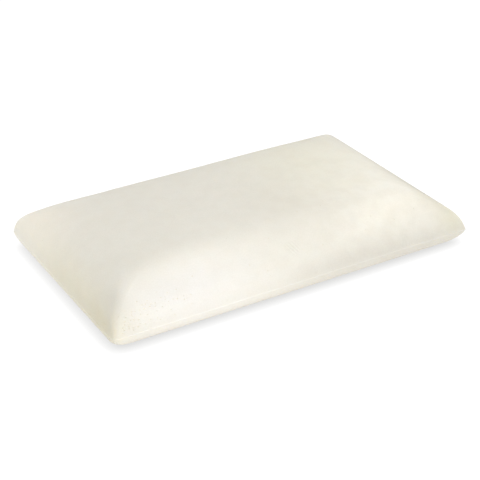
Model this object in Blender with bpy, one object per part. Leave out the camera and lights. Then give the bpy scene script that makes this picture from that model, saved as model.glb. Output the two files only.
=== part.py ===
"""A moulded memory foam pillow, lying flat on its base.

The pillow is one block of foam. Its upper half is a crown that falls to the parting line of the
mould all round, and its shallow lower half turns under to a flat base. The crown has four slopes
that meet in ridges, sharp at the corners and broad where they run into the top.
Metres, +Z up, with the origin in the middle of the base.
"""

import math
from typing import NamedTuple

import bmesh
import bpy
from mathutils import Vector
from mathutils.geometry import interpolate_bezier

# Driving dimensions
LENGTH = 0.70
WIDTH = 0.42
HEIGHT = 0.103
PARTING_HEIGHT = 0.028
BASE_INSET = 0.028

# Corner radii in plan: at the parting line, at the base, and how fast a ridge widens inwards
PARTING_CORNER_RADIUS = 0.0045
BASE_CORNER_RADIUS = 0.060
RIDGE_WIDENING = 0.48

# Fineness of the mesh
CORNER_STEPS = 10
CROWN_STEPS = 5
BAND_STEPS = 7

SMOOTH_ANGLE = math.radians(40)
FOAM_COLOUR = (0.80, 0.76, 0.66, 1.0)
FOAM_ROUGHNESS = 0.85


class Station(NamedTuple):
    """A place on the crown's section, with its distance in from the parting line."""

    inset: float
    height: float
    slope_deg: float


CROWN_SECTION = (
    Station(inset=0.000, height=PARTING_HEIGHT, slope_deg=85.0),
    Station(inset=0.009, height=0.0530, slope_deg=52.0),
    Station(inset=0.024, height=0.0678, slope_deg=35.5),
    Station(inset=0.056, height=0.0892, slope_deg=28.5),
    Station(inset=0.106, height=0.1023, slope_deg=1.0),
    Station(inset=0.190, height=HEIGHT, slope_deg=0.0),
)


def clear_scene():
    """Removes the objects that the scene opens with."""
    for item in list(bpy.data.objects):
        bpy.data.objects.remove(item, do_unlink=True)


def slope_direction(slope_deg):
    """The direction of a slope in the section's plane."""
    slope = math.radians(slope_deg)
    return Vector((math.cos(slope), math.sin(slope)))


def crown_curve():
    """Points (inset, height) up the crown, on a smooth curve through the stations."""
    points = [Vector((CROWN_SECTION[0].inset, CROWN_SECTION[0].height))]
    for low, high in zip(CROWN_SECTION, CROWN_SECTION[1:]):
        start = Vector((low.inset, low.height))
        end = Vector((high.inset, high.height))
        reach = (end - start).length / 3
        handle_out = start + reach * slope_direction(low.slope_deg)
        handle_in = end - reach * slope_direction(high.slope_deg)
        points += interpolate_bezier(start, handle_out, handle_in, end, CROWN_STEPS)[1:]
    return points


def ring_points(inset, height, corner_radius):
    """A level rounded rectangle, drawn in from the parting line by the inset."""
    half_length = LENGTH / 2 - inset
    half_width = WIDTH / 2 - inset
    radius = min(corner_radius, half_width)
    points = []
    for quarter in range(4):
        centre_x = (half_length - radius) * (1 if quarter in (0, 3) else -1)
        centre_y = (half_width - radius) * (1 if quarter in (0, 1) else -1)
        for step in range(CORNER_STEPS + 1):
            angle = math.pi / 2 * (quarter + step / CORNER_STEPS)
            x = centre_x + radius * math.cos(angle)
            y = centre_y + radius * math.sin(angle)
            points.append(Vector((x, y, height)))
    return points


def band_rings():
    """Rings of the lower half, from the base up to just under the parting line."""
    rings = []
    for step in range(BAND_STEPS):
        angle = math.pi / 2 * (1 - step / BAND_STEPS)
        turned_in = 1 - math.cos(angle)
        height = PARTING_HEIGHT * (1 - math.sin(angle))
        radius = PARTING_CORNER_RADIUS + (BASE_CORNER_RADIUS - PARTING_CORNER_RADIUS) * turned_in
        rings.append(ring_points(BASE_INSET * turned_in, height, radius))
    return rings


def crown_rings():
    """Rings of the upper half, from the parting line to the crown."""
    rings = []
    for inset, height in crown_curve():
        radius = PARTING_CORNER_RADIUS + RIDGE_WIDENING * inset
        rings.append(ring_points(inset, height, radius))
    return rings


def block_mesh(name, rings):
    """One closed block over level rings that run from the base to the crown."""
    mesh = bpy.data.meshes.new(name)
    block = bmesh.new()
    levels = [[block.verts.new(point) for point in ring] for ring in rings]
    for below, above in zip(levels, levels[1:]):
        for corner in range(len(below)):
            following = (corner + 1) % len(below)
            block.faces.new((below[corner], below[following], above[following], above[corner]))
    block.faces.new(tuple(reversed(levels[0])))
    block.faces.new(levels[-1])
    block.to_mesh(mesh)
    block.free()
    mesh.shade_smooth()
    mesh.set_sharp_from_angle(angle=SMOOTH_ANGLE)
    return mesh


def foam_material():
    """Cream foam with the matt skin that the mould leaves."""
    material = bpy.data.materials.new("foam")
    material.use_nodes = True
    shader = material.node_tree.nodes["Principled BSDF"]
    shader.inputs["Base Color"].default_value = FOAM_COLOUR
    shader.inputs["Roughness"].default_value = FOAM_ROUGHNESS
    shader.inputs["Metallic"].default_value = 0.0
    material.diffuse_color = FOAM_COLOUR
    return material


def make_pillow():
    """The foam block, the one piece of the pillow."""
    mesh = block_mesh("pillow", band_rings() + crown_rings())
    mesh.materials.append(foam_material())
    pillow = bpy.data.objects.new("pillow", mesh)
    bpy.context.scene.collection.objects.link(pillow)
    return pillow


clear_scene()
make_pillow()
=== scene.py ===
# %% [markdown]
# # A moulded memory foam pillow
#
# The pillow is one block of slow-recovery foam, poured into a two-part mould and left bare. It has
# no cover, seam or piping, so there is no cloth to simulate. What makes it look real is the form of
# the block and the skin that the mould leaves on it: a low parting line with a thin raised flash,
# ridges that are sharp at the corners and broad higher up, a faint waviness, pin-hole pores where
# air was trapped, and a cream colour that yellows towards the edges.
#
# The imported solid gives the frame: the outline and the height below are worked out from its box.

import math
import random
from typing import NamedTuple

import bmesh
import bpy
from mathutils import Matrix, Vector, noise
from mathutils.geometry import interpolate_bezier
from mathutils.kdtree import KDTree


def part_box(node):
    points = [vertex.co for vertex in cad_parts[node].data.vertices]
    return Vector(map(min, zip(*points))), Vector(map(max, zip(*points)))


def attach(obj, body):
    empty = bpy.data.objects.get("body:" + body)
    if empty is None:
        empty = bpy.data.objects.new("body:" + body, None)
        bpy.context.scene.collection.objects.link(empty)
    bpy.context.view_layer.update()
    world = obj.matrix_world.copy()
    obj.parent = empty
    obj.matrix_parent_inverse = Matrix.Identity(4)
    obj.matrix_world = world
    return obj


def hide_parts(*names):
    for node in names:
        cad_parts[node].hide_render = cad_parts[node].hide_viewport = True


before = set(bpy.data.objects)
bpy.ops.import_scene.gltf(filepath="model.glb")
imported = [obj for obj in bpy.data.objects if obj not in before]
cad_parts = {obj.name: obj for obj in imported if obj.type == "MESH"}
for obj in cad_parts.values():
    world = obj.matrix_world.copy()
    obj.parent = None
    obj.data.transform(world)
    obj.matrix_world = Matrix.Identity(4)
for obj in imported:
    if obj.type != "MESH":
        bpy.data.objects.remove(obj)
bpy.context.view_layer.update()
box_low, box_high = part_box("pillow")
length, width, height = box_high - box_low
print(f"The solid is {length:.3f} x {width:.3f} x {height:.3f} m")

# %% [markdown]
# ## The camera
#
# The photograph looks down on the near left corner, from about 30 degrees round the long side and
# 29 degrees up. A long lens a little over two metres away gives the same mild perspective: the far
# end is only slightly smaller than the near one. The camera is aimed at a point just in front of
# the pillow's middle, which puts the pillow a little above the middle of the picture.

# %% Camera at the photograph's angle
VIEW_AZIMUTH = math.radians(-30.26)
VIEW_ELEVATION = math.radians(29.07)
VIEW_ROLL = math.radians(-0.50)
VIEW_DISTANCE = 2.2
VIEW_AIM = Vector((-0.0276, -0.0525, 0.040))
FOCAL_PIXELS = 1250.4
PICTURE_PIXELS = 480
SENSOR_MM = 36.0


def direction_from(azimuth, elevation):
    """The direction from the pillow towards something at this azimuth and elevation."""
    flat = math.cos(elevation)
    return Vector((math.sin(azimuth) * flat, -math.cos(azimuth) * flat, math.sin(elevation)))


def make_camera():
    """The camera, looking at the aim point with the photograph's slight roll."""
    lens = bpy.data.cameras.new("camera")
    lens.sensor_width = SENSOR_MM
    lens.lens = FOCAL_PIXELS / PICTURE_PIXELS * SENSOR_MM
    camera = bpy.data.objects.new("camera", lens)
    bpy.context.scene.collection.objects.link(camera)
    back = direction_from(VIEW_AZIMUTH, VIEW_ELEVATION)
    level = (-back).to_track_quat("-Z", "Y").to_matrix().to_4x4()
    roll = Matrix.Rotation(VIEW_ROLL, 4, "Z")
    camera.matrix_world = Matrix.Translation(VIEW_AIM + back * VIEW_DISTANCE) @ level @ roll
    bpy.context.scene.camera = camera
    return camera


camera = make_camera()
print(f"The lens is {camera.data.lens:.1f} mm")

# %% [markdown]
# ## The section of the block
#
# A cut through the block shows how the mould is shaped. From the parting line the crown rises
# steeply, leans back into a slope of about 30 degrees, turns over a soft shoulder and ends in an
# almost flat top. Below the parting line the side turns under to the flat base.
#
# The section could be drawn as a long list of points. A few stations, each with a place and a
# slope, joined by Bezier curves, say the same thing and are easy to change.

# %% The crown's section
PARTING_HEIGHT = 0.028


class Station(NamedTuple):
    """A place on the crown's section, with its distance in from the parting line."""

    inset: float
    height: float
    slope_deg: float
    rings: int


CROWN_SECTION = (
    Station(inset=0.000, height=PARTING_HEIGHT, slope_deg=85.0, rings=0),
    Station(inset=0.009, height=0.0530, slope_deg=52.0, rings=6),
    Station(inset=0.024, height=0.0678, slope_deg=35.5, rings=4),
    Station(inset=0.056, height=0.0892, slope_deg=28.5, rings=6),
    Station(inset=0.106, height=0.1023, slope_deg=1.0, rings=8),
    Station(inset=0.190, height=height, slope_deg=0.0, rings=10),
)
SHOULDER_INSET = CROWN_SECTION[-2].inset


def slope_direction(slope_deg):
    """The direction of a slope in the section's plane."""
    slope = math.radians(slope_deg)
    return Vector((math.cos(slope), math.sin(slope)))


def crown_curve(fineness=1):
    """Points (inset, height) up the crown, on a smooth curve through the stations."""
    points = [Vector((CROWN_SECTION[0].inset, CROWN_SECTION[0].height))]
    for low, high in zip(CROWN_SECTION, CROWN_SECTION[1:]):
        start = Vector((low.inset, low.height))
        end = Vector((high.inset, high.height))
        reach = (end - start).length / 3
        handle_out = start + reach * slope_direction(low.slope_deg)
        handle_in = end - reach * slope_direction(high.slope_deg)
        steps = high.rings * fineness
        points += interpolate_bezier(start, handle_out, handle_in, end, steps + 1)[1:]
    return points


CROWN_POINTS = crown_curve()
print(f"The crown's section has {len(CROWN_POINTS)} points")

# %% [markdown]
# ## The band under the parting line
#
# The lower half of the mould is shallow. Its side turns under in a quarter round and meets the flat
# base 28 mm in from the parting line, so that the pillow seems to stand on a soft rim with a thin
# dark line of shadow below it. Evenly spaced angles spread the rings evenly over the round.

# %% The band's section
BAND_INSET = 0.028
BAND_RINGS = 9
BASE_RING_INSETS = (0.060, 0.044, 0.034)


def band_curve():
    """Points (inset, height) from the base's rim up to just under the parting line."""
    points = []
    for step in range(BAND_RINGS):
        angle = math.pi / 2 * (1 - step / BAND_RINGS)
        inset = BAND_INSET * (1 - math.cos(angle))
        points.append(Vector((inset, PARTING_HEIGHT * (1 - math.sin(angle)))))
    return points


BASE_POINTS = [Vector((inset, 0.0)) for inset in BASE_RING_INSETS]
LOWER_POINTS = BASE_POINTS + band_curve()
print(f"The lower half's section has {len(LOWER_POINTS)} points")

# %% [markdown]
# ## Level rings round the block
#
# Seen from above, each level of the block is a rectangle with round corners. At the parting line
# the corners are tight, and the radius grows on the way in, slowly at first and then faster. That
# makes the ridges crisp low down and broad where they run into the top. The four corners are not
# quite alike: the near left one is the roundest, and the ridge at the far right is the sharpest.
#
# A box with bevelled edges would be quicker, but its corners can't change from level to level. So
# the block is built from rings. Every ring has the same number of points, so that each can be
# joined to the next with quads.

# %% The four corners
RIDGE_WIDENING = 0.08
RIDGE_SPREADING = 3.8
RIDGES_ALIKE_FROM = 0.045


class Corner(NamedTuple):
    """One corner: its plan radii at the parting line and the base, its ridge's breadth, its tip."""

    parting: float
    base: float
    breadth: float
    tip: float


# The corners are counted anticlockwise from the far right one. These are the signs of x and y there.
CORNER_SIGNS = ((1, 1), (-1, 1), (-1, -1), (1, -1))
CORNERS = (
    Corner(parting=0.0045, base=0.060, breadth=0.30, tip=0.0010),
    Corner(parting=0.0065, base=0.060, breadth=2.20, tip=0.0002),
    Corner(parting=0.0125, base=0.042, breadth=1.00, tip=0.0012),
    Corner(parting=0.0045, base=0.070, breadth=0.80, tip=0.0025),
)
PLAIN_CORNER = Corner(parting=0.0045, base=0.060, breadth=1.0, tip=0.0)


def soft_step(value, start, end):
    """0 up to the start, 1 from the end, and a smooth rise between them."""
    share = min(max((value - start) / (end - start), 0.0), 1.0)
    return share * share * (3 - 2 * share)


def crown_radius(inset, corner=PLAIN_CORNER):
    """The plan radius of one corner of a level on the crown."""
    breadth = corner.breadth + (1 - corner.breadth) * soft_step(inset, RIDGES_ALIKE_FROM, SHOULDER_INSET)
    growth = breadth * (RIDGE_WIDENING * inset + RIDGE_SPREADING * inset * inset)
    extra = (corner.parting - PLAIN_CORNER.parting) * (1 - soft_step(inset, 0.0, RIDGES_ALIKE_FROM))
    return min(PLAIN_CORNER.parting + extra + growth, width / 2 - inset)


def band_radius(inset, corner):
    """The plan radius of one corner of a level on the band or the base."""
    turned_in = min(inset / BAND_INSET, 1.0)
    return corner.parting + (corner.base - corner.parting) * turned_in


print(f"At the shoulder the corners' radius is {crown_radius(SHOULDER_INSET) * 1000:.0f} mm")

# %% One level ring
CORNER_STEPS = 14
LONG_SIDE_STEPS = 70
SHORT_SIDE_STEPS = 38


def corner_arc(quarter, inset, radius, level):
    """The points of one round corner, anticlockwise."""
    sign_x, sign_y = CORNER_SIGNS[quarter]
    centre_x = (length / 2 - inset - radius) * sign_x
    centre_y = (width / 2 - inset - radius) * sign_y
    arc = []
    for step in range(CORNER_STEPS + 1):
        angle = math.pi / 2 * (quarter + step / CORNER_STEPS)
        x = centre_x + radius * math.cos(angle)
        y = centre_y + radius * math.sin(angle)
        arc.append(Vector((x, y, level)))
    return arc


def ring_points(inset, level, radius_at):
    """A level rounded rectangle, with evenly spread points along its straight sides."""
    radii = [radius_at(inset, corner) for corner in CORNERS]
    arcs = [corner_arc(quarter, inset, radius, level) for quarter, radius in enumerate(radii)]
    points = []
    for quarter, arc in enumerate(arcs):
        points += arc
        side_end = arcs[(quarter + 1) % len(arcs)][0]
        steps = LONG_SIDE_STEPS if quarter % 2 == 0 else SHORT_SIDE_STEPS
        points += [arc[-1].lerp(side_end, step / steps) for step in range(1, steps)]
    return points


parting_points = ring_points(0.0, PARTING_HEIGHT, crown_radius)
print(f"A ring has {len(parting_points)} points")

# %% All the rings up to the shoulder
SAME_PLACE = 1e-6

lower_rings = [ring_points(point.x, point.y, band_radius) for point in LOWER_POINTS]
shoulder_points = [point for point in CROWN_POINTS if point.x < SHOULDER_INSET + SAME_PLACE]
crown_rings = [ring_points(point.x, point.y, crown_radius) for point in shoulder_points]
print(f"There are {len(lower_rings)} rings below the parting line and {len(crown_rings)} from it up")

# %% [markdown]
# ## The flash on the parting line
#
# Where the two halves of the mould meet, a little foam squeezes out and is rubbed off by hand. It
# leaves a line about a millimetre proud, ragged near the middle of the front where it was rubbed
# hardest. Three rings close to the parting line carry it: the middle one stands out, and by how
# much varies a little all round the block. A line of bump in the material would be less work, but
# it would show neither in the outline nor in the mesh.

# %% Flash
FLASH_HALF_WIDTH = 0.0015
FLASH_PROUD = 0.0011
FLASH_SHARE_LEFT = 0.95
FLASH_UNEVENNESS = 0.08
FLASH_WAVINESS = 15.0
WORN_MIDDLE = Vector((-0.010, -0.210, PARTING_HEIGHT))
WORN_REACH = 0.030
WORN_UNEVENNESS = 0.8
WORN_RAGGEDNESS = 260.0


def flash_proud(point):
    """How far the flash stands out at a point of the parting line."""
    share = FLASH_SHARE_LEFT + FLASH_UNEVENNESS * noise.noise(point * FLASH_WAVINESS)
    worn = math.exp(-((point - WORN_MIDDLE).length / WORN_REACH) ** 2)
    share += worn * WORN_UNEVENNESS * noise.noise(point * WORN_RAGGEDNESS)
    return FLASH_PROUD * max(0.0, share)


def flash_rings(parting_ring):
    """Rings just under, on and just above the parting line."""
    rise = Vector((0, 0, FLASH_HALF_WIDTH))
    proud = []
    for index, point in enumerate(parting_ring):
        along = parting_ring[(index + 1) % len(parting_ring)] - parting_ring[index - 1]
        outwards = Vector((along.y, -along.x, 0)).normalized()
        proud.append(point + outwards * flash_proud(point))
    return [[point - rise for point in parting_ring], proud, [point + rise for point in parting_ring]]


crown_rings[0:1] = flash_rings(crown_rings[0])
print(f"The flash stands about {FLASH_PROUD * 1000:.1f} mm proud")

# %% [markdown]
# ## The top and the underside
#
# Past the shoulder the top is nearly flat. One face with hundreds of corners would close it, but a
# subdivision surface handles such a face slowly and badly. So a grid of quads is stretched over
# the ring: its edges are the ring's own points, its inner points are blended from the four edges,
# and each one's height is read from the section at its own inset. The base is closed in the same
# way, but flat.

# %% Height over the plan
FINE_STEPS = 8
HALVINGS = 24
FINE_CROWN_POINTS = crown_curve(fineness=FINE_STEPS)


def outside_level(x, y, inset):
    """How far a plan point lies outside the level ring at an inset; negative is inside."""
    radius = crown_radius(inset)
    over_x = abs(x) - (length / 2 - inset - radius)
    over_y = abs(y) - (width / 2 - inset - radius)
    corner = math.hypot(max(over_x, 0.0), max(over_y, 0.0))
    return corner + min(max(over_x, over_y), 0.0) - radius


def inset_at(x, y):
    """The inset of the level ring through a plan point, found by halving."""
    low, high = 0.0, CROWN_SECTION[-1].inset
    for _ in range(HALVINGS):
        middle = (low + high) / 2
        if outside_level(x, y, middle) < 0:
            low = middle
        else:
            high = middle
    return low


def crown_height(x, y):
    """The height of the smooth crown over a plan point."""
    inset = inset_at(x, y)
    for before, after in zip(FINE_CROWN_POINTS, FINE_CROWN_POINTS[1:]):
        if inset <= after.x:
            share = (inset - before.x) / (after.x - before.x)
            return before.y + share * (after.y - before.y)
    return FINE_CROWN_POINTS[-1].y


print(f"The crown is {crown_height(0, 0) * 1000:.0f} mm high in the middle")

# %% Grid over a ring


def grid_edges(ring):
    """The four edges of a grid over a ring, which meet in the middles of its round corners."""
    half = CORNER_STEPS // 2
    across = SHORT_SIDE_STEPS + CORNER_STEPS
    along = LONG_SIDE_STEPS + CORNER_STEPS
    around = ring[half:] + ring[:half] + [ring[half]]
    far = around[: along + 1][::-1]
    left = around[along : along + across + 1][::-1]
    near = around[along + across : 2 * along + across + 1]
    right = around[2 * along + across :]
    return near, far, left, right


def blend_inner_points(near, far, left, right):
    """The inner points of a grid, blended from its four edges, by rows from near to far."""
    rows = []
    for row in range(1, len(left) - 1):
        backwards = row / (len(left) - 1)
        points = []
        for column in range(1, len(near) - 1):
            rightwards = column / (len(near) - 1)
            sides = left[row].lerp(right[row], rightwards) + near[column].lerp(far[column], backwards)
            near_part = near[0].lerp(near[-1], rightwards)
            far_part = far[0].lerp(far[-1], rightwards)
            points.append(sides - near_part.lerp(far_part, backwards))
        rows.append(points)
    return rows


top_edges = grid_edges(crown_rings[-1])
print(f"The top's grid has {len(top_edges[0]) - 1} x {len(top_edges[2]) - 1} quads")

# %% Join rings and grids into one block


def join_rings(block, levels):
    """Bands of quads between neighbouring rings."""
    for below, above in zip(levels, levels[1:]):
        for index in range(len(below)):
            following = (index + 1) % len(below)
            block.faces.new((below[index], below[following], above[following], above[index]))


def close_with_grid(block, ring_verts, level_at, upwards):
    """A grid of quads over a ring, with heights from a function of x and y."""
    near, far, left, right = grid_edges(ring_verts)
    places = [[vert.co.copy() for vert in edge] for edge in (near, far, left, right)]
    rows = [list(near)]
    for row, points in enumerate(blend_inner_points(*places), start=1):
        inner = [block.verts.new((place.x, place.y, level_at(place.x, place.y))) for place in points]
        rows.append([left[row]] + inner + [right[row]])
    rows.append(list(far))
    for front, behind in zip(rows, rows[1:]):
        for column in range(len(front) - 1):
            quad = (front[column], front[column + 1], behind[column + 1], behind[column])
            block.faces.new(quad if upwards else tuple(reversed(quad)))


block = bmesh.new()
levels = [[block.verts.new(point) for point in ring] for ring in lower_rings + crown_rings]
join_rings(block, levels)
close_with_grid(block, levels[-1], crown_height, upwards=True)
close_with_grid(block, levels[0], lambda x, y: 0.0, upwards=False)
bmesh.ops.recalc_face_normals(block, faces=block.faces)
print(f"The cage has {len(block.faces)} faces")

# %% [markdown]
# ## The tips of the corners
#
# A pillow is pulled out of its mould by the corners, so the flash there is drawn out into a small
# point. Each corner's points are moved outwards along the diagonal, most at the tip and less with
# the distance from it. A smooth falloff needs no extra points, and it keeps the rings in order.

# %% Draw out the tips
TIP_REACH = 0.010


def draw_out_tips(block):
    """Pulls the four corners of the parting line outwards, each by its own amount."""
    for vert in block.verts:
        signs = (math.copysign(1.0, vert.co.x), math.copysign(1.0, vert.co.y))
        corner = CORNERS[CORNER_SIGNS.index(signs)]
        tip = Vector((signs[0] * length / 2, signs[1] * width / 2, PARTING_HEIGHT))
        away = (vert.co - tip).length / TIP_REACH
        vert.co += Vector((*signs, 0.0)).normalized() * corner.tip * math.exp(-away * away)


draw_out_tips(block)
longest_tip = max(corner.tip for corner in CORNERS)
print(f"The tips are drawn out by up to {longest_tip * 1000:.1f} mm")

# %% [markdown]
# ## A slight lean
#
# Soft foam never settles quite straight. The crown of this pillow sits a few millimetres towards
# its left end, so that the slope at that end is a little steeper and the other a little longer.
# The lean begins low at the left end and higher up at the right one, and grows with the height.

# %% Lean the crown
CROWN_LEAN = -0.006
LEAN_START_LEFT = 0.035
LEAN_START_RIGHT = 0.066
LEAN_RISE = 0.050
ENDS_BLEND = 0.15

for vert in block.verts:
    rightness = soft_step(vert.co.x, -ENDS_BLEND, ENDS_BLEND)
    start = LEAN_START_LEFT + rightness * (LEAN_START_RIGHT - LEAN_START_LEFT)
    vert.co.x += CROWN_LEAN * soft_step(vert.co.z, start, start + LEAN_RISE)
print(f"The crown leans by {CROWN_LEAN * 1000:.0f} mm along the length")

# %% [markdown]
# ## Soft unevenness
#
# Foam shrinks a little as it cures, and it is squeezed while it is warm to break its cells open. So
# no face of the real block is true: the top swells slightly behind its middle, and the skin has
# slow waves of a few tenths of a millimetre. Smooth noise along each point's normal gives the
# waves. A Displace modifier could do the same, but moving the points in code lets each move fade
# out with its height, so that the base and the parting line stay where the mould held them.

# %% Move the crown's points
WAVE_HEIGHT = 0.0007
WAVE_LENGTH = 0.10
RIPPLE_HEIGHT = 0.00025
RIPPLE_LENGTH = 0.035
WAVE_START_HEIGHT = 0.045
WAVE_FULL_HEIGHT = 0.080


class Swell(NamedTuple):
    """A soft rise of the crown, or a dent where the rise is negative."""

    x: float
    y: float
    reach: float
    rise: float


SWELLS = (
    Swell(x=0.12, y=0.07, reach=0.13, rise=0.0018),
    Swell(x=-0.10, y=0.02, reach=0.10, rise=0.0008),
    Swell(x=0.17, y=-0.06, reach=0.035, rise=-0.0007),
    Swell(x=0.225, y=-0.085, reach=0.022, rise=0.0008),
    Swell(x=0.25, y=-0.12, reach=0.020, rise=0.0007),
    Swell(x=0.288, y=-0.150, reach=0.014, rise=-0.0008),
)


def soften_crown(block):
    """Moves the crown's points by the slow waves and the swells; returns the largest move."""
    block.normal_update()
    largest = 0.0
    for vert in block.verts:
        held = soft_step(vert.co.z, WAVE_START_HEIGHT, WAVE_FULL_HEIGHT)
        if held == 0.0:
            continue
        move = WAVE_HEIGHT * noise.noise(vert.co / WAVE_LENGTH)
        move += RIPPLE_HEIGHT * noise.noise(vert.co / RIPPLE_LENGTH)
        for swell in SWELLS:
            away = math.hypot(vert.co.x - swell.x, vert.co.y - swell.y) / swell.reach
            move += swell.rise * math.exp(-away * away)
        vert.co += vert.normal * move * held
        largest = max(largest, abs(move * held))
    return largest


largest_move = soften_crown(block)
print(f"The crown's points moved by up to {largest_move * 1000:.1f} mm")

# %% [markdown]
# ## Pores
#
# Where air was trapped against the mould, the skin has small round pits. They crowd together low
# on the near left corner, and a few lie further along the front. A pit could be only a dark dot in
# the material, but then it would have no shadow and no place in the mesh. So each is cut
# into one quad of the cage: a rim of four points, and four deeper points inside it. The
# subdivision surface turns them into a round hole with a soft rim.

# %% Cut one pore
PORE_NARROWING = 0.72
PORE_DEPTH = 1.2
PORE_MARGIN = 1.25


class Pore(NamedTuple):
    """A pit in the skin."""

    place: tuple
    radius: float


def place_in_quad(face, place, radius):
    """The point of a quad that is nearest to a place and leaves room for a pore's rim."""
    corners = [vert.co for vert in face.verts]
    middle = face.calc_center_median()
    offset = Vector(place) - middle
    found = middle.copy()
    for start, end in ((0, 1), (1, 2)):
        side = corners[end] - corners[start]
        room = max(side.length / 2 - PORE_MARGIN * radius, 0.0)
        side = side.normalized()
        found += side * max(-room, min(room, offset.dot(side)))
    return found


def cut_pore(block, face, pore):
    """Replaces one quad by a ring of quads round a small deep pit, and flags the pit's floor."""
    flag = block.verts.layers.float["pit"]
    corners = list(face.verts)
    inwards = -face.normal
    middle = place_in_quad(face, pore.place, pore.radius)
    rim, deep = [], []
    for corner in corners:
        outwards = corner.co - middle
        outwards = (outwards - inwards * outwards.dot(inwards)).normalized()
        rim_place = middle + outwards * pore.radius
        sunk = inwards * pore.radius * PORE_DEPTH
        narrowed = outwards * pore.radius * (1 - PORE_NARROWING)
        rim.append(block.verts.new(rim_place))
        deep.append(block.verts.new(rim_place + sunk - narrowed))
        deep[-1][flag] = 1.0
    block.faces.remove(face)
    for index in range(4):
        following = (index + 1) % 4
        block.faces.new((corners[index], corners[following], rim[following], rim[index]))
        block.faces.new((rim[index], rim[following], deep[following], deep[index]))
    block.faces.new(deep)


block.verts.layers.float.new("pit")
print(f"A pore of 1.0 mm radius goes {PORE_DEPTH:.1f} mm deep")

# %% [markdown]
# The largest pits have their own places. The rest are scattered with a fixed seed, so that the
# pillow comes out the same each time: most near the near left corner, some along each side, and
# a few anywhere on the crown.

# %% The largest pores
LARGE_PORES = (
    Pore(place=(-0.228, -0.196, 0.059), radius=0.0011),
    Pore(place=(-0.302, -0.204, 0.049), radius=0.0010),
    Pore(place=(-0.324, -0.203, 0.050), radius=0.0010),
    Pore(place=(-0.333, -0.208, 0.037), radius=0.0010),
    Pore(place=(-0.288, -0.194, 0.060), radius=0.0011),
    Pore(place=(-0.277, -0.194, 0.061), radius=0.0011),
    Pore(place=(-0.266, -0.193, 0.062), radius=0.0010),
    Pore(place=(-0.245, -0.203, 0.050), radius=0.0010),
    Pore(place=(-0.257, -0.200, 0.055), radius=0.0010),
    Pore(place=(-0.216, -0.199, 0.055), radius=0.0010),
    Pore(place=(-0.293, -0.185, 0.066), radius=0.0010),
    Pore(place=(-0.314, -0.209, 0.036), radius=0.0010),
    Pore(place=(-0.305, -0.209, 0.038), radius=0.0010),
    Pore(place=(0.057, -0.186, 0.067), radius=0.0010),
    Pore(place=(0.052, -0.112, 0.102), radius=0.0010),
)
print(f"{len(LARGE_PORES)} pores have places of their own")

# %% The scattered pores
PORE_SEED = 7
PORE_EDGE_ROOM = 0.002


class Scatter(NamedTuple):
    """A crowd of small pores over a patch of the plan, with most of them near its middle."""

    x: float
    y: float
    reach_x: float
    reach_y: float
    count: int
    smallest: float
    largest: float


SCATTERS = (
    Scatter(x=-0.326, y=-0.2055, reach_x=0.022, reach_y=0.004, count=70, smallest=0.0007, largest=0.0010),
    Scatter(x=-0.275, y=-0.194, reach_x=0.040, reach_y=0.006, count=40, smallest=0.0006, largest=0.0009),
    Scatter(x=-0.08, y=-0.190, reach_x=0.16, reach_y=0.015, count=10, smallest=0.0006, largest=0.0009),
    Scatter(x=0.00, y=0.00, reach_x=0.22, reach_y=0.12, count=12, smallest=0.0006, largest=0.0009),
    Scatter(x=0.30, y=0.196, reach_x=0.030, reach_y=0.008, count=14, smallest=0.0007, largest=0.0011),
    Scatter(x=-0.05, y=0.195, reach_x=0.16, reach_y=0.010, count=16, smallest=0.0006, largest=0.0010),
    Scatter(x=0.338, y=-0.02, reach_x=0.006, reach_y=0.09, count=14, smallest=0.0006, largest=0.0010),
)


def kept_within(value, limit):
    """A value, moved to plus or minus the limit if it lies beyond."""
    return max(-limit, min(limit, value))


def scattered_pores():
    """The small pores of every crowd, lying on the smooth crown."""
    pores = []
    for crowd in SCATTERS:
        for _ in range(crowd.count):
            x = random.gauss(crowd.x, crowd.reach_x)
            y = random.gauss(crowd.y, crowd.reach_y)
            x = kept_within(x, length / 2 - PORE_EDGE_ROOM)
            y = kept_within(y, width / 2 - PORE_EDGE_ROOM)
            radius = random.uniform(crowd.smallest, crowd.largest)
            pores.append(Pore(place=(x, y, crown_height(x, y)), radius=radius))
    return pores


random.seed(PORE_SEED)
small_pores = scattered_pores()
print(f"{len(small_pores)} small pores were scattered")

# %% Cut all the pores
LEAST_UPWARDS = 0.05


def shortest_edge(face):
    """The length of a face's shortest edge."""
    return min(edge.calc_length() for edge in face.edges)


def cut_pores(block, pores):
    """Cuts each pore into the quad it lies on, at most one to a quad, where the quad has room."""
    block.normal_update()
    faces = [face for face in block.faces if face.normal.z > LEAST_UPWARDS]
    tree = KDTree(len(faces))
    for index, face in enumerate(faces):
        tree.insert(face.calc_center_median(), index)
    tree.balance()
    taken = set()
    for pore in pores:
        index = tree.find(pore.place)[1]
        if index in taken or shortest_edge(faces[index]) < 2 * PORE_MARGIN * pore.radius:
            continue
        taken.add(index)
        cut_pore(block, faces[index], pore)
    return len(taken)


pores_cut = cut_pores(block, list(LARGE_PORES) + small_pores)
print(f"{pores_cut} pores were cut, and the cage has {len(block.faces)} faces")

# %% [markdown]
# ## The pillow as an object
#
# So far the block is a cage, held in memory. Now it becomes a mesh and an object. A Subdivision
# Surface modifier rounds it: the ridges, the flash and the pits all lose their last hard edges.
# The cage is fine enough for one level to do, and more would only make the file heavier.

# %% Make the pillow's object
pillow_mesh = bpy.data.meshes.new("pillow_foam")
block.to_mesh(pillow_mesh)
block.free()
pillow_mesh.shade_smooth()
pillow = bpy.data.objects.new("pillow_foam", pillow_mesh)
bpy.context.scene.collection.objects.link(pillow)
rounding = pillow.modifiers.new("rounding", "SUBSURF")
rounding.levels = 1
rounding.render_levels = 1
print(f"The pillow's mesh has {len(pillow_mesh.polygons)} faces, and four times as many when rounded")
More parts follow.
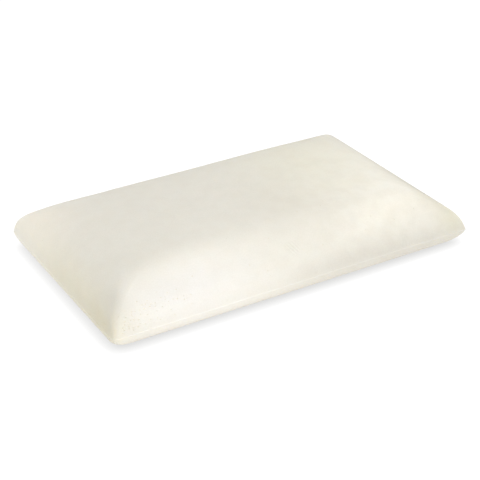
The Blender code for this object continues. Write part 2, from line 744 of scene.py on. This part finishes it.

# %% [markdown]
# ## Tone
#
# Bare foam is never one colour. It yellows where light and hands reach it, first at the ends and
# along the edges, and in places it is a little greener, in others less yellow. Many patches are
# painted light and painted shade: the front slopes and the right of the top are painted brighter,
# the far left corner and a crease carry painted highlights, and the right end, the lower front,
# the front shoulder, a small dent and the left end beside the near left corner carry painted shade.
# One more is just paler, and two more darker. These changes are wide and soft, so they are painted
# on the mesh's points, as a tint that multiplies the foam's colour. Image textures would need a flat
# layout of the skin, and the points are fine enough for soft changes. The painted light and shade
# stand in for soft light that the lamps further down don't quite give.
#
# The flash is painted paler in the same way, as a painted highlight, because the mesh has rings
# just where it lies. The band under it is painted darker, as painted shade, because it looks at the
# floor, and the floors of the pits are painted darker and tan, as painted shade. The alpha of the
# painted colour says how mottled the skin is, which is most near the right end.

# %% Patches of another tone, and of painted light and painted shade


class ToneAndPaintedLightPatch(NamedTuple):
    """A soft patch of another tone, painted light and painted shade included, as an ellipsoid round a
    place.
    """

    place: tuple
    reach: tuple
    tint: tuple


TONE_AND_PAINTED_LIGHT_PATCHES = (
    ToneAndPaintedLightPatch(place=(-0.352, -0.060, 0.042), reach=(0.035, 0.17, 0.05), tint=(1.012, 0.997, 0.910)),
    ToneAndPaintedLightPatch(place=(-0.354, -0.175, 0.042), reach=(0.014, 0.05, 0.03), tint=(0.975, 0.955, 0.86)),
    # A painted highlight on the crown by the far left corner.
    ToneAndPaintedLightPatch(place=(-0.310, 0.130, 0.070), reach=(0.040, 0.07, 0.05), tint=(1.03, 1.01, 0.995)),
    # Painted shade on the left end, beside the near left corner.
    ToneAndPaintedLightPatch(place=(-0.327, -0.182, 0.067), reach=(0.017, 0.06, 0.03), tint=(0.935, 0.935, 0.930)),
    # Painted shade on the front shoulder, left of the middle.
    ToneAndPaintedLightPatch(place=(-0.258, -0.112, 0.099), reach=(0.045, 0.028, 0.03), tint=(0.966, 0.966, 0.960)),
    # Painted light: the front slope left of the middle is painted brighter.
    ToneAndPaintedLightPatch(place=(-0.165, -0.150, 0.091), reach=(0.095, 0.026, 0.03), tint=(1.048, 1.050, 1.055)),
    ToneAndPaintedLightPatch(place=(-0.200, -0.190, 0.062), reach=(0.125, 0.045, 0.05), tint=(0.997, 1.005, 1.060)),
    # Painted light: the front slope right of the middle is painted brighter, in two patches.
    ToneAndPaintedLightPatch(place=(0.205, -0.162, 0.083), reach=(0.075, 0.030, 0.03), tint=(1.072, 1.069, 1.057)),
    ToneAndPaintedLightPatch(place=(0.135, -0.180, 0.072), reach=(0.050, 0.018, 0.015), tint=(1.030, 1.030, 1.030)),
    # Painted shade along the lower front, right of the middle.
    ToneAndPaintedLightPatch(place=(0.090, -0.208, 0.042), reach=(0.100, 0.016, 0.022), tint=(0.945, 0.940, 0.935)),
    ToneAndPaintedLightPatch(place=(0.050, -0.070, 0.103), reach=(0.080, 0.080, 0.03), tint=(0.965, 0.958, 0.945)),
    ToneAndPaintedLightPatch(place=(0.170, 0.060, 0.102), reach=(0.120, 0.130, 0.03), tint=(0.998, 1.000, 0.955)),
    ToneAndPaintedLightPatch(place=(0.200, 0.160, 0.095), reach=(0.120, 0.050, 0.04), tint=(0.975, 0.975, 0.975)),
    # Painted shade on the right end, in three patches.
    ToneAndPaintedLightPatch(place=(0.326, -0.050, 0.066), reach=(0.022, 0.19, 0.035), tint=(0.885, 0.880, 0.840)),
    ToneAndPaintedLightPatch(place=(0.322, -0.135, 0.076), reach=(0.030, 0.07, 0.03), tint=(0.870, 0.865, 0.845)),
    ToneAndPaintedLightPatch(place=(0.312, -0.055, 0.084), reach=(0.028, 0.08, 0.03), tint=(0.890, 0.885, 0.865)),
    ToneAndPaintedLightPatch(place=(0.325, -0.198, 0.050), reach=(0.030, 0.03, 0.03), tint=(1.040, 1.040, 0.985)),
    # A painted highlight along a crease on the top.
    ToneAndPaintedLightPatch(place=(0.218, -0.104, 0.102), reach=(0.042, 0.010, 0.02), tint=(1.028, 1.028, 1.025)),
    # Painted light: the right of the top is painted brighter.
    ToneAndPaintedLightPatch(place=(0.185, -0.066, 0.103), reach=(0.060, 0.022, 0.03), tint=(1.022, 1.022, 1.012)),
    # Painted shade in the small dent among the creases by the near right corner.
    ToneAndPaintedLightPatch(place=(0.290, -0.152, 0.080), reach=(0.018, 0.014, 0.02), tint=(0.970, 0.965, 0.95)),
)
print(f"{len(TONE_AND_PAINTED_LIGHT_PATCHES)} patches of tone")

# %% The tint at a point
PLAIN_TINT = Vector((1.0, 1.0, 1.0))
# Painted shade on the band under the parting line, which faces the floor.
BAND_PAINTED_SHADE = Vector((0.935, 0.915, 0.885))
BAND_PAINTED_SHADE_TOP = 0.030
# A painted highlight along the flash: paler and a little bluer.
FLASH_PAINTED_HIGHLIGHT = Vector((1.06, 1.065, 1.09))
FLASH_HIGHLIGHT_HALF_HEIGHT = 0.0009


def times(first, second):
    """Two tints multiplied, channel by channel."""
    return Vector([a * b for a, b in zip(first, second)])


def tint_and_painted_light_at(point):
    """The tint at a point of the skin, with its painted light and painted shade."""
    tint = PLAIN_TINT.copy()
    for patch in TONE_AND_PAINTED_LIGHT_PATCHES:
        axes = zip(point, patch.place, patch.reach)
        away = Vector([(here - middle) / reach for here, middle, reach in axes]).length
        share = math.exp(-away * away)
        for channel in range(3):
            tint[channel] *= 1 + share * (patch.tint[channel] - 1)
    # The flash's painted highlight.
    if abs(point.z - PARTING_HEIGHT) < FLASH_HIGHLIGHT_HALF_HEIGHT:
        tint = times(tint, FLASH_PAINTED_HIGHLIGHT)
    # The band's painted shade is full at the base and fades out towards its top.
    band_shade_share = 1 - soft_step(point.z, 0.0, BAND_PAINTED_SHADE_TOP)
    return times(tint, PLAIN_TINT.lerp(BAND_PAINTED_SHADE, band_shade_share))


top_tint = tint_and_painted_light_at(Vector((0.0, 0.0, height)))
print("In the middle of the top the tint is", [round(channel, 3) for channel in top_tint])

# %% Paint the tint
# The pits' floors are painted darker and tan, as painted shade.
PIT_PAINTED_SHADE = Vector((0.94, 0.87, 0.66))
MOTTLED_PLACE = Vector((0.22, -0.13, 0.09))
MOTTLED_REACH = 0.16
MOTTLE_LEAST = 0.30


def mottle_at(point):
    """How mottled the skin is at a point, from the least share up to 1."""
    away = (point - MOTTLED_PLACE).length / MOTTLED_REACH
    return MOTTLE_LEAST + (1 - MOTTLE_LEAST) * math.exp(-away * away)


def paint_tint_and_light(mesh):
    """Stores the tint of every point, painted light and shade included, as a colour attribute, and how
    mottled it is as its alpha.
    """
    layer = mesh.color_attributes.new("tint", "FLOAT_COLOR", "POINT")
    pits = mesh.attributes["pit"].data
    for vert, painted, pit in zip(mesh.vertices, layer.data, pits):
        tint = tint_and_painted_light_at(vert.co)
        # Painted shade, tan, on the floors of the pits.
        if pit.value:
            tint = times(tint, PIT_PAINTED_SHADE)
        painted.color = (*tint, mottle_at(vert.co))


paint_tint_and_light(pillow_mesh)
print(f"The tint is painted on {len(pillow_mesh.vertices)} points")

# %% [markdown]
# ## Foam
#
# Slow-recovery foam is matt and slightly see-through: light goes in a few millimetres and comes out
# again, which softens every edge. Its skin has a fine grain of closed cells, faint blotches, and
# many pin holes too small to model. The colour starts from a cream, is varied by noise in four
# ways, as blotches, hue, grain and mottling, and is multiplied by the painted tint, which carries
# painted light and painted shade too. A Voronoi texture gives the pin holes: each of its cells has
# a random value, and only the cells with a high one open a hole, painted a dark tan as painted shade.

# %% Helpers for shader nodes
WHITE = (1.0, 1.0, 1.0, 1.0)
# A Mix node has a set of sockets for each kind of value, and these are the numbers of the colour ones.
FIRST_COLOUR = 6
SECOND_COLOUR = 7
MIXED_COLOUR = 2


def add_node(tree, kind, inputs=None, **settings):
    """A new shader node with its settings, and a value or a link for each named input."""
    made = tree.nodes.new(kind)
    for name, value in settings.items():
        setattr(made, name, value)
    for name, value in (inputs or {}).items():
        if isinstance(value, bpy.types.NodeSocket):
            tree.links.new(value, made.inputs[name])
        else:
            made.inputs[name].default_value = value
    return made


def calculate(tree, operation, first, second=0.0):
    """The result of a Math node."""
    return add_node(tree, "ShaderNodeMath", {0: first, 1: second}, operation=operation).outputs[0]


def rescale(tree, value, old, new):
    """A value mapped from one range to another and kept inside it."""
    inputs = {"Value": value, "From Min": old[0], "From Max": old[1], "To Min": new[0], "To Max": new[1]}
    return add_node(tree, "ShaderNodeMapRange", inputs, clamp=True).outputs["Result"]


def blend(tree, share, first, second, blend_type="MIX"):
    """Two colours mixed by a share from 0 to 1."""
    inputs = {0: share, FIRST_COLOUR: first, SECOND_COLOUR: second}
    mixer = add_node(tree, "ShaderNodeMix", inputs, data_type="RGBA", blend_type=blend_type)
    return mixer.outputs[MIXED_COLOUR]


def multiplied(tree, first, second):
    """Two colours multiplied."""
    return blend(tree, 1.0, first, second, "MULTIPLY")


def soft_noise(tree, coordinates, size, detail):
    """Smooth noise with features of about a size in metres."""
    inputs = {"Vector": coordinates, "Scale": 1 / size, "Detail": detail}
    return add_node(tree, "ShaderNodeTexNoise", inputs).outputs["Fac"]


# %% Foam colour
FOAM_COLOUR = (0.804, 0.778, 0.704, 1.0)
DULL_FOAM_COLOUR = (0.792, 0.765, 0.689, 1.0)
WARM_TINT = (1.0, 0.994, 0.986, 1.0)
COOL_TINT = (0.998, 1.0, 0.994, 1.0)
GRAIN_TINT = (0.973, 0.971, 0.965, 1.0)
MOTTLE_TINT = (0.970, 0.966, 0.960, 1.0)
# The dark tan of the pin holes is painted shade, for holes too small to model.
PIN_HOLE_PAINTED_SHADE = (0.56, 0.50, 0.36, 1.0)


class Variation(NamedTuple):
    """How the skin varies: the size of the noise, its detail, and the values it is stretched from."""

    size: float
    detail: float
    stretched_from: tuple


BLOTCHES = Variation(size=0.045, detail=4.0, stretched_from=(0.35, 0.65))
HUES = Variation(size=0.020, detail=3.0, stretched_from=(0.40, 0.60))
GRAIN = Variation(size=0.0021, detail=1.0, stretched_from=(0.35, 0.65))
MOTTLE = Variation(size=0.022, detail=3.0, stretched_from=(0.42, 0.62))


def varied(tree, coordinates, variation, between=(0.0, 1.0)):
    """A value that varies smoothly over the skin between two others."""
    noise_value = soft_noise(tree, coordinates, variation.size, variation.detail)
    return rescale(tree, noise_value, variation.stretched_from, between)


def foam_colour(tree, coordinates, pin_holes):
    """Cream with its blotches, hue, grain, tint with its painted light and shade, mottling, and pin holes
    painted dark as painted shade.
    """
    cream = blend(tree, varied(tree, coordinates, BLOTCHES), FOAM_COLOUR, DULL_FOAM_COLOUR)
    hue = blend(tree, varied(tree, coordinates, HUES), WARM_TINT, COOL_TINT)
    cream = multiplied(tree, cream, hue)
    grain = blend(tree, varied(tree, coordinates, GRAIN), WHITE, GRAIN_TINT)
    cream = multiplied(tree, cream, grain)
    tint = add_node(tree, "ShaderNodeAttribute", attribute_name="tint")
    cream = multiplied(tree, cream, tint.outputs["Color"])
    mottle = calculate(tree, "MULTIPLY", varied(tree, coordinates, MOTTLE), tint.outputs["Alpha"])
    cream = blend(tree, mottle, cream, multiplied(tree, cream, MOTTLE_TINT))
    # The pin holes are painted dark tan, as painted shade.
    return blend(tree, pin_holes, cream, PIN_HOLE_PAINTED_SHADE)


print(f"The grain is {GRAIN.size * 1000:.1f} mm fine, the blotches {BLOTCHES.size * 1000:.0f} mm wide")

# %% Pin holes
PIN_CELL = 0.0065
PIN_RARITY = 0.80
PIN_LARGEST = 0.085
PIN_SOFTNESS = 0.035


def pin_hole_mask(tree, coordinates):
    """1 in the pin holes and 0 on the skin between them."""
    inputs = {"Vector": coordinates, "Scale": 1 / PIN_CELL}
    cells = add_node(tree, "ShaderNodeTexVoronoi", inputs)
    chance = add_node(tree, "ShaderNodeSeparateColor", {"Color": cells.outputs["Color"]}).outputs["Red"]
    radius = rescale(tree, chance, (PIN_RARITY, 1.0), (-PIN_SOFTNESS, PIN_LARGEST))
    inside = calculate(tree, "SUBTRACT", radius, cells.outputs["Distance"])
    return rescale(tree, inside, (0.0, PIN_SOFTNESS), (0.0, 1.0))


print(f"Pin holes are at most {2 * PIN_LARGEST * PIN_CELL * 1000:.1f} mm wide")

# %% [markdown]
# ## The skin's relief
#
# The relief is worked out as a height in metres, so that a Bump node with a distance of one metre
# gives slopes of the true size: grain of a few hundredths of a millimetre, a slightly lumpy skin,
# and pin holes about half a millimetre deep. In three places the skin was pinched while it was
# soft and kept a few fine parallel creases. All of this is too shallow to be worth mesh points.

# %% Skin relief
LUMP_SIZE = 0.006
LUMP_DETAIL = 3.0
LUMP_HEIGHT = 0.00022
GRAIN_HEIGHT = 0.00005
PIN_DEPTH = 0.0006


class Creases(NamedTuple):
    """A patch of fine parallel creases."""

    place: tuple
    across: tuple
    spacing: float
    reach: float
    depth: float


CREASES = (
    Creases((0.004, -0.176, 0.074), across=(0.9, 0.15, 0.4), spacing=0.0055, reach=0.018, depth=0.00042),
    Creases((0.293, -0.153, 0.074), across=(0.5, 0.7, 0.5), spacing=0.0080, reach=0.020, depth=0.00030),
    Creases((0.236, -0.097, 0.098), across=(0.7, 0.7, 0.1), spacing=0.0120, reach=0.024, depth=0.00030),
)


def crease_height(tree, coordinates, creases):
    """The relief of one patch of creases, fading out at its edge."""
    across = Vector(creases.across).normalized() * (2 * math.pi / creases.spacing)
    phase = add_node(tree, "ShaderNodeVectorMath", {0: coordinates, 1: across}, operation="DOT_PRODUCT")
    away = add_node(tree, "ShaderNodeVectorMath", {0: coordinates, 1: creases.place}, operation="DISTANCE")
    fade = rescale(tree, away.outputs["Value"], (0.0, creases.reach), (creases.depth, 0.0))
    return calculate(tree, "MULTIPLY", calculate(tree, "SINE", phase.outputs["Value"]), fade)


def skin_height(tree, coordinates, pin_holes):
    """The height of the skin's relief in metres."""
    lumps = soft_noise(tree, coordinates, LUMP_SIZE, LUMP_DETAIL)
    lumps = calculate(tree, "MULTIPLY", lumps, LUMP_HEIGHT)
    grain = soft_noise(tree, coordinates, GRAIN.size, GRAIN.detail)
    grain = calculate(tree, "MULTIPLY", grain, GRAIN_HEIGHT)
    relief = calculate(tree, "ADD", lumps, grain)
    for creases in CREASES:
        relief = calculate(tree, "ADD", relief, crease_height(tree, coordinates, creases))
    return calculate(tree, "SUBTRACT", relief, calculate(tree, "MULTIPLY", pin_holes, PIN_DEPTH))


print(f"The skin has lumps of {LUMP_HEIGHT * 1000:.2f} mm and {len(CREASES)} patches of creases")

# %% Foam material
FOAM_ROUGHNESS = (0.72, 0.86)
SHINE = Variation(size=0.020, detail=2.0, stretched_from=(0.3, 0.7))
FOAM_SPECULAR = 0.25
SCATTER_SHARE = 0.20
SCATTER_DEPTH = 0.006
SCATTER_COLOURS = (1.0, 0.85, 0.60)


def make_foam():
    """Matt cream foam with a fine skin."""
    material = bpy.data.materials.new("moulded_foam")
    material.use_nodes = True
    tree = material.node_tree
    shader = tree.nodes["Principled BSDF"]
    coordinates = add_node(tree, "ShaderNodeTexCoord").outputs["Object"]
    pin_holes = pin_hole_mask(tree, coordinates)
    tree.links.new(foam_colour(tree, coordinates, pin_holes), shader.inputs["Base Color"])
    roughness = varied(tree, coordinates, SHINE, FOAM_ROUGHNESS)
    tree.links.new(roughness, shader.inputs["Roughness"])
    bump = {"Height": skin_height(tree, coordinates, pin_holes), "Distance": 1.0, "Strength": 1.0}
    tree.links.new(add_node(tree, "ShaderNodeBump", bump).outputs["Normal"], shader.inputs["Normal"])
    shader.inputs["Specular IOR Level"].default_value = FOAM_SPECULAR
    shader.inputs["Subsurface Weight"].default_value = SCATTER_SHARE
    shader.inputs["Subsurface Radius"].default_value = SCATTER_COLOURS
    shader.inputs["Subsurface Scale"].default_value = SCATTER_DEPTH
    return material


foam = make_foam()
pillow_mesh.materials.append(foam)
print(f"The foam's material has {len(foam.node_tree.nodes)} nodes")

# %% [markdown]
# ## The floor
#
# The photograph has a plain white ground, with only a narrow soft shadow close to the pillow. Under
# real lamps a white floor is either grey or lit from below like a light table. This one glows
# white, and an Ambient Occlusion node dims the glow within a few centimetres of the pillow.

# %% Floor
FLOOR_SIZE = 12.0
FLOOR_COLOUR = (0.10, 0.10, 0.10, 1.0)
SHADOW_REACH = 0.040
SHADOW_SAMPLES = 24
OPEN_SHARE = (0.12, 0.84)
GLOW = (0.66, 1.0)


def make_floor():
    """A plain white floor that darkens softly close to the pillow."""
    material = bpy.data.materials.new("white_floor")
    material.use_nodes = True
    tree = material.node_tree
    shader = tree.nodes["Principled BSDF"]
    shader.inputs["Base Color"].default_value = FLOOR_COLOUR
    shader.inputs["Roughness"].default_value = 1.0
    shader.inputs["Specular IOR Level"].default_value = 0.0
    shader.inputs["Emission Color"].default_value = WHITE
    reach = {"Distance": SHADOW_REACH}
    occlusion = add_node(tree, "ShaderNodeAmbientOcclusion", reach, samples=SHADOW_SAMPLES)
    glow = rescale(tree, occlusion.outputs["AO"], OPEN_SHARE, GLOW)
    tree.links.new(glow, shader.inputs["Emission Strength"])
    mesh = bpy.data.meshes.new("floor")
    sheet = bmesh.new()
    bmesh.ops.create_grid(sheet, x_segments=1, y_segments=1, size=FLOOR_SIZE / 2)
    sheet.to_mesh(mesh)
    sheet.free()
    mesh.materials.append(material)
    floor = bpy.data.objects.new("floor", mesh)
    bpy.context.scene.collection.objects.link(floor)
    return floor


floor = make_floor()
print(f"The floor is {floor.dimensions.x:.0f} m wide")

# %% [markdown]
# ## Light
#
# The light in the photograph is soft and comes from all round, with the strongest part low in
# front of the left half and another above the right end. A white world gives the even part. Four
# large lamps far away give the broad light, and six small weak ones close to the pillow brighten
# single places, because a near lamp's light falls off within the pillow's own length. Each has
# a place, a point to aim at, a size and a power.

# %% World
AMBIENT = 0.40
BACKDROP = 1.0


def make_world():
    """A white backdrop for the camera and a weaker even light for everything else."""
    world = bpy.data.worlds.new("studio")
    bpy.context.scene.world = world
    world.use_nodes = True
    tree = world.node_tree
    seen = add_node(tree, "ShaderNodeLightPath").outputs["Is Camera Ray"]
    strength = rescale(tree, seen, (0.0, 1.0), (AMBIENT, BACKDROP))
    background = tree.nodes["Background"]
    background.inputs["Color"].default_value = WHITE
    tree.links.new(strength, background.inputs["Strength"])


make_world()
bpy.context.scene.view_settings.view_transform = "Standard"
print(f"The world gives {AMBIENT:.2f} of the light that its backdrop shows")

# %% Lamps


class Lamp(NamedTuple):
    """A square soft lamp."""

    name: str
    place: tuple
    aim: tuple
    size: float
    power: float


LAMPS = (
    Lamp(name="overhead", place=(0, 0, 3.0), aim=(0, 0, 0), size=1.6, power=37),
    Lamp(name="left_window", place=(-2.42, 0.43, 1.72), aim=(0, 0, 0.05), size=1.2, power=7.02),
    Lamp(name="front_low", place=(1.27, -2.72, 0.16), aim=(0, 0, 0.05), size=1.2, power=13.8),
    Lamp(name="behind_low", place=(1.2, 2.7, 0.42), aim=(0, 0, 0.05), size=1.2, power=5.32),
    Lamp(name="right_close", place=(0.35, -0.3, 0.45), aim=(0.25, -0.08, 0.1), size=0.3, power=0.43),
    Lamp(name="right_high", place=(0.45, -0.05, 0.35), aim=(0.27, 0, 0.1), size=0.25, power=0.164),
    Lamp(name="front_close", place=(-0.15, -0.5, 0.15), aim=(-0.15, -0.15, 0.06), size=0.25, power=0.255),
    Lamp(name="front_high", place=(-0.3, -0.45, 0.35), aim=(-0.2, -0.15, 0.06), size=0.25, power=0.164),
    Lamp(name="corner_close", place=(-0.35, -0.55, 0.12), aim=(-0.2, -0.2, 0.05), size=0.2, power=0.202),
    Lamp(name="left_close", place=(-0.6, 0.25, 0.2), aim=(-0.3, 0.15, 0.06), size=0.2, power=0.266),
)


def make_lamp(lamp):
    """A square area light at its place, turned towards its aim."""
    light = bpy.data.lights.new(lamp.name, "AREA")
    light.shape = "SQUARE"
    light.size = lamp.size
    light.energy = lamp.power
    item = bpy.data.objects.new(lamp.name, light)
    bpy.context.scene.collection.objects.link(item)
    item.location = lamp.place
    backwards = Vector(lamp.place) - Vector(lamp.aim)
    item.rotation_euler = backwards.to_track_quat("Z", "Y").to_euler()


for lamp in LAMPS:
    make_lamp(lamp)
print(f"{len(LAMPS)} lamps give {sum(lamp.power for lamp in LAMPS):.1f} W")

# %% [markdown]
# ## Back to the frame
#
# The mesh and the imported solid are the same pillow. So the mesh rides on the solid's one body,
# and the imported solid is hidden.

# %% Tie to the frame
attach(pillow, "root")
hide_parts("pillow")
